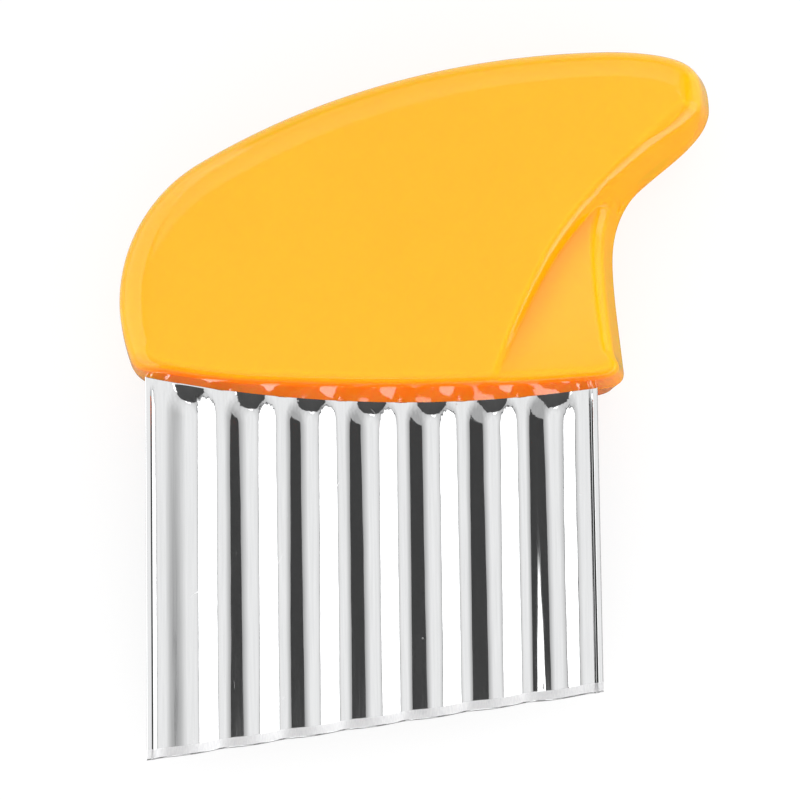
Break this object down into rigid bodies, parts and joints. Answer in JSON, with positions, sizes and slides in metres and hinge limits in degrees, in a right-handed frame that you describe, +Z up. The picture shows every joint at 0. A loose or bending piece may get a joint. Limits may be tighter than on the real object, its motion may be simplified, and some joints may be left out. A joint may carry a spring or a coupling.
{
  "type": "crinkle cutter",
  "caption": "Hand-held crinkle cutter: a fluted stainless blade with a slanted ground edge, held by its tang in a split moulded handle with a finger fin.",
  "frame": {"origin": "under the middle of the part's box, on the plane that its rear face lies on", "axes": "+X from the nose to the fin, +Y from the cutting edge to the crown of the handle, +Z up out of the front face"},
  "size_m": [0.0972, 0.1146, 0.022],
  "materials": {
    "handle_plastic": "gloss, yellow-orange",
    "blade_steel": "polished, with a fine-ground edge"
  },
  "bodies": {
    "root": {"front_shell": "handle_plastic", "rear_shell": "handle_plastic", "blade": "blade_steel"}
  },
  "joints": []
}
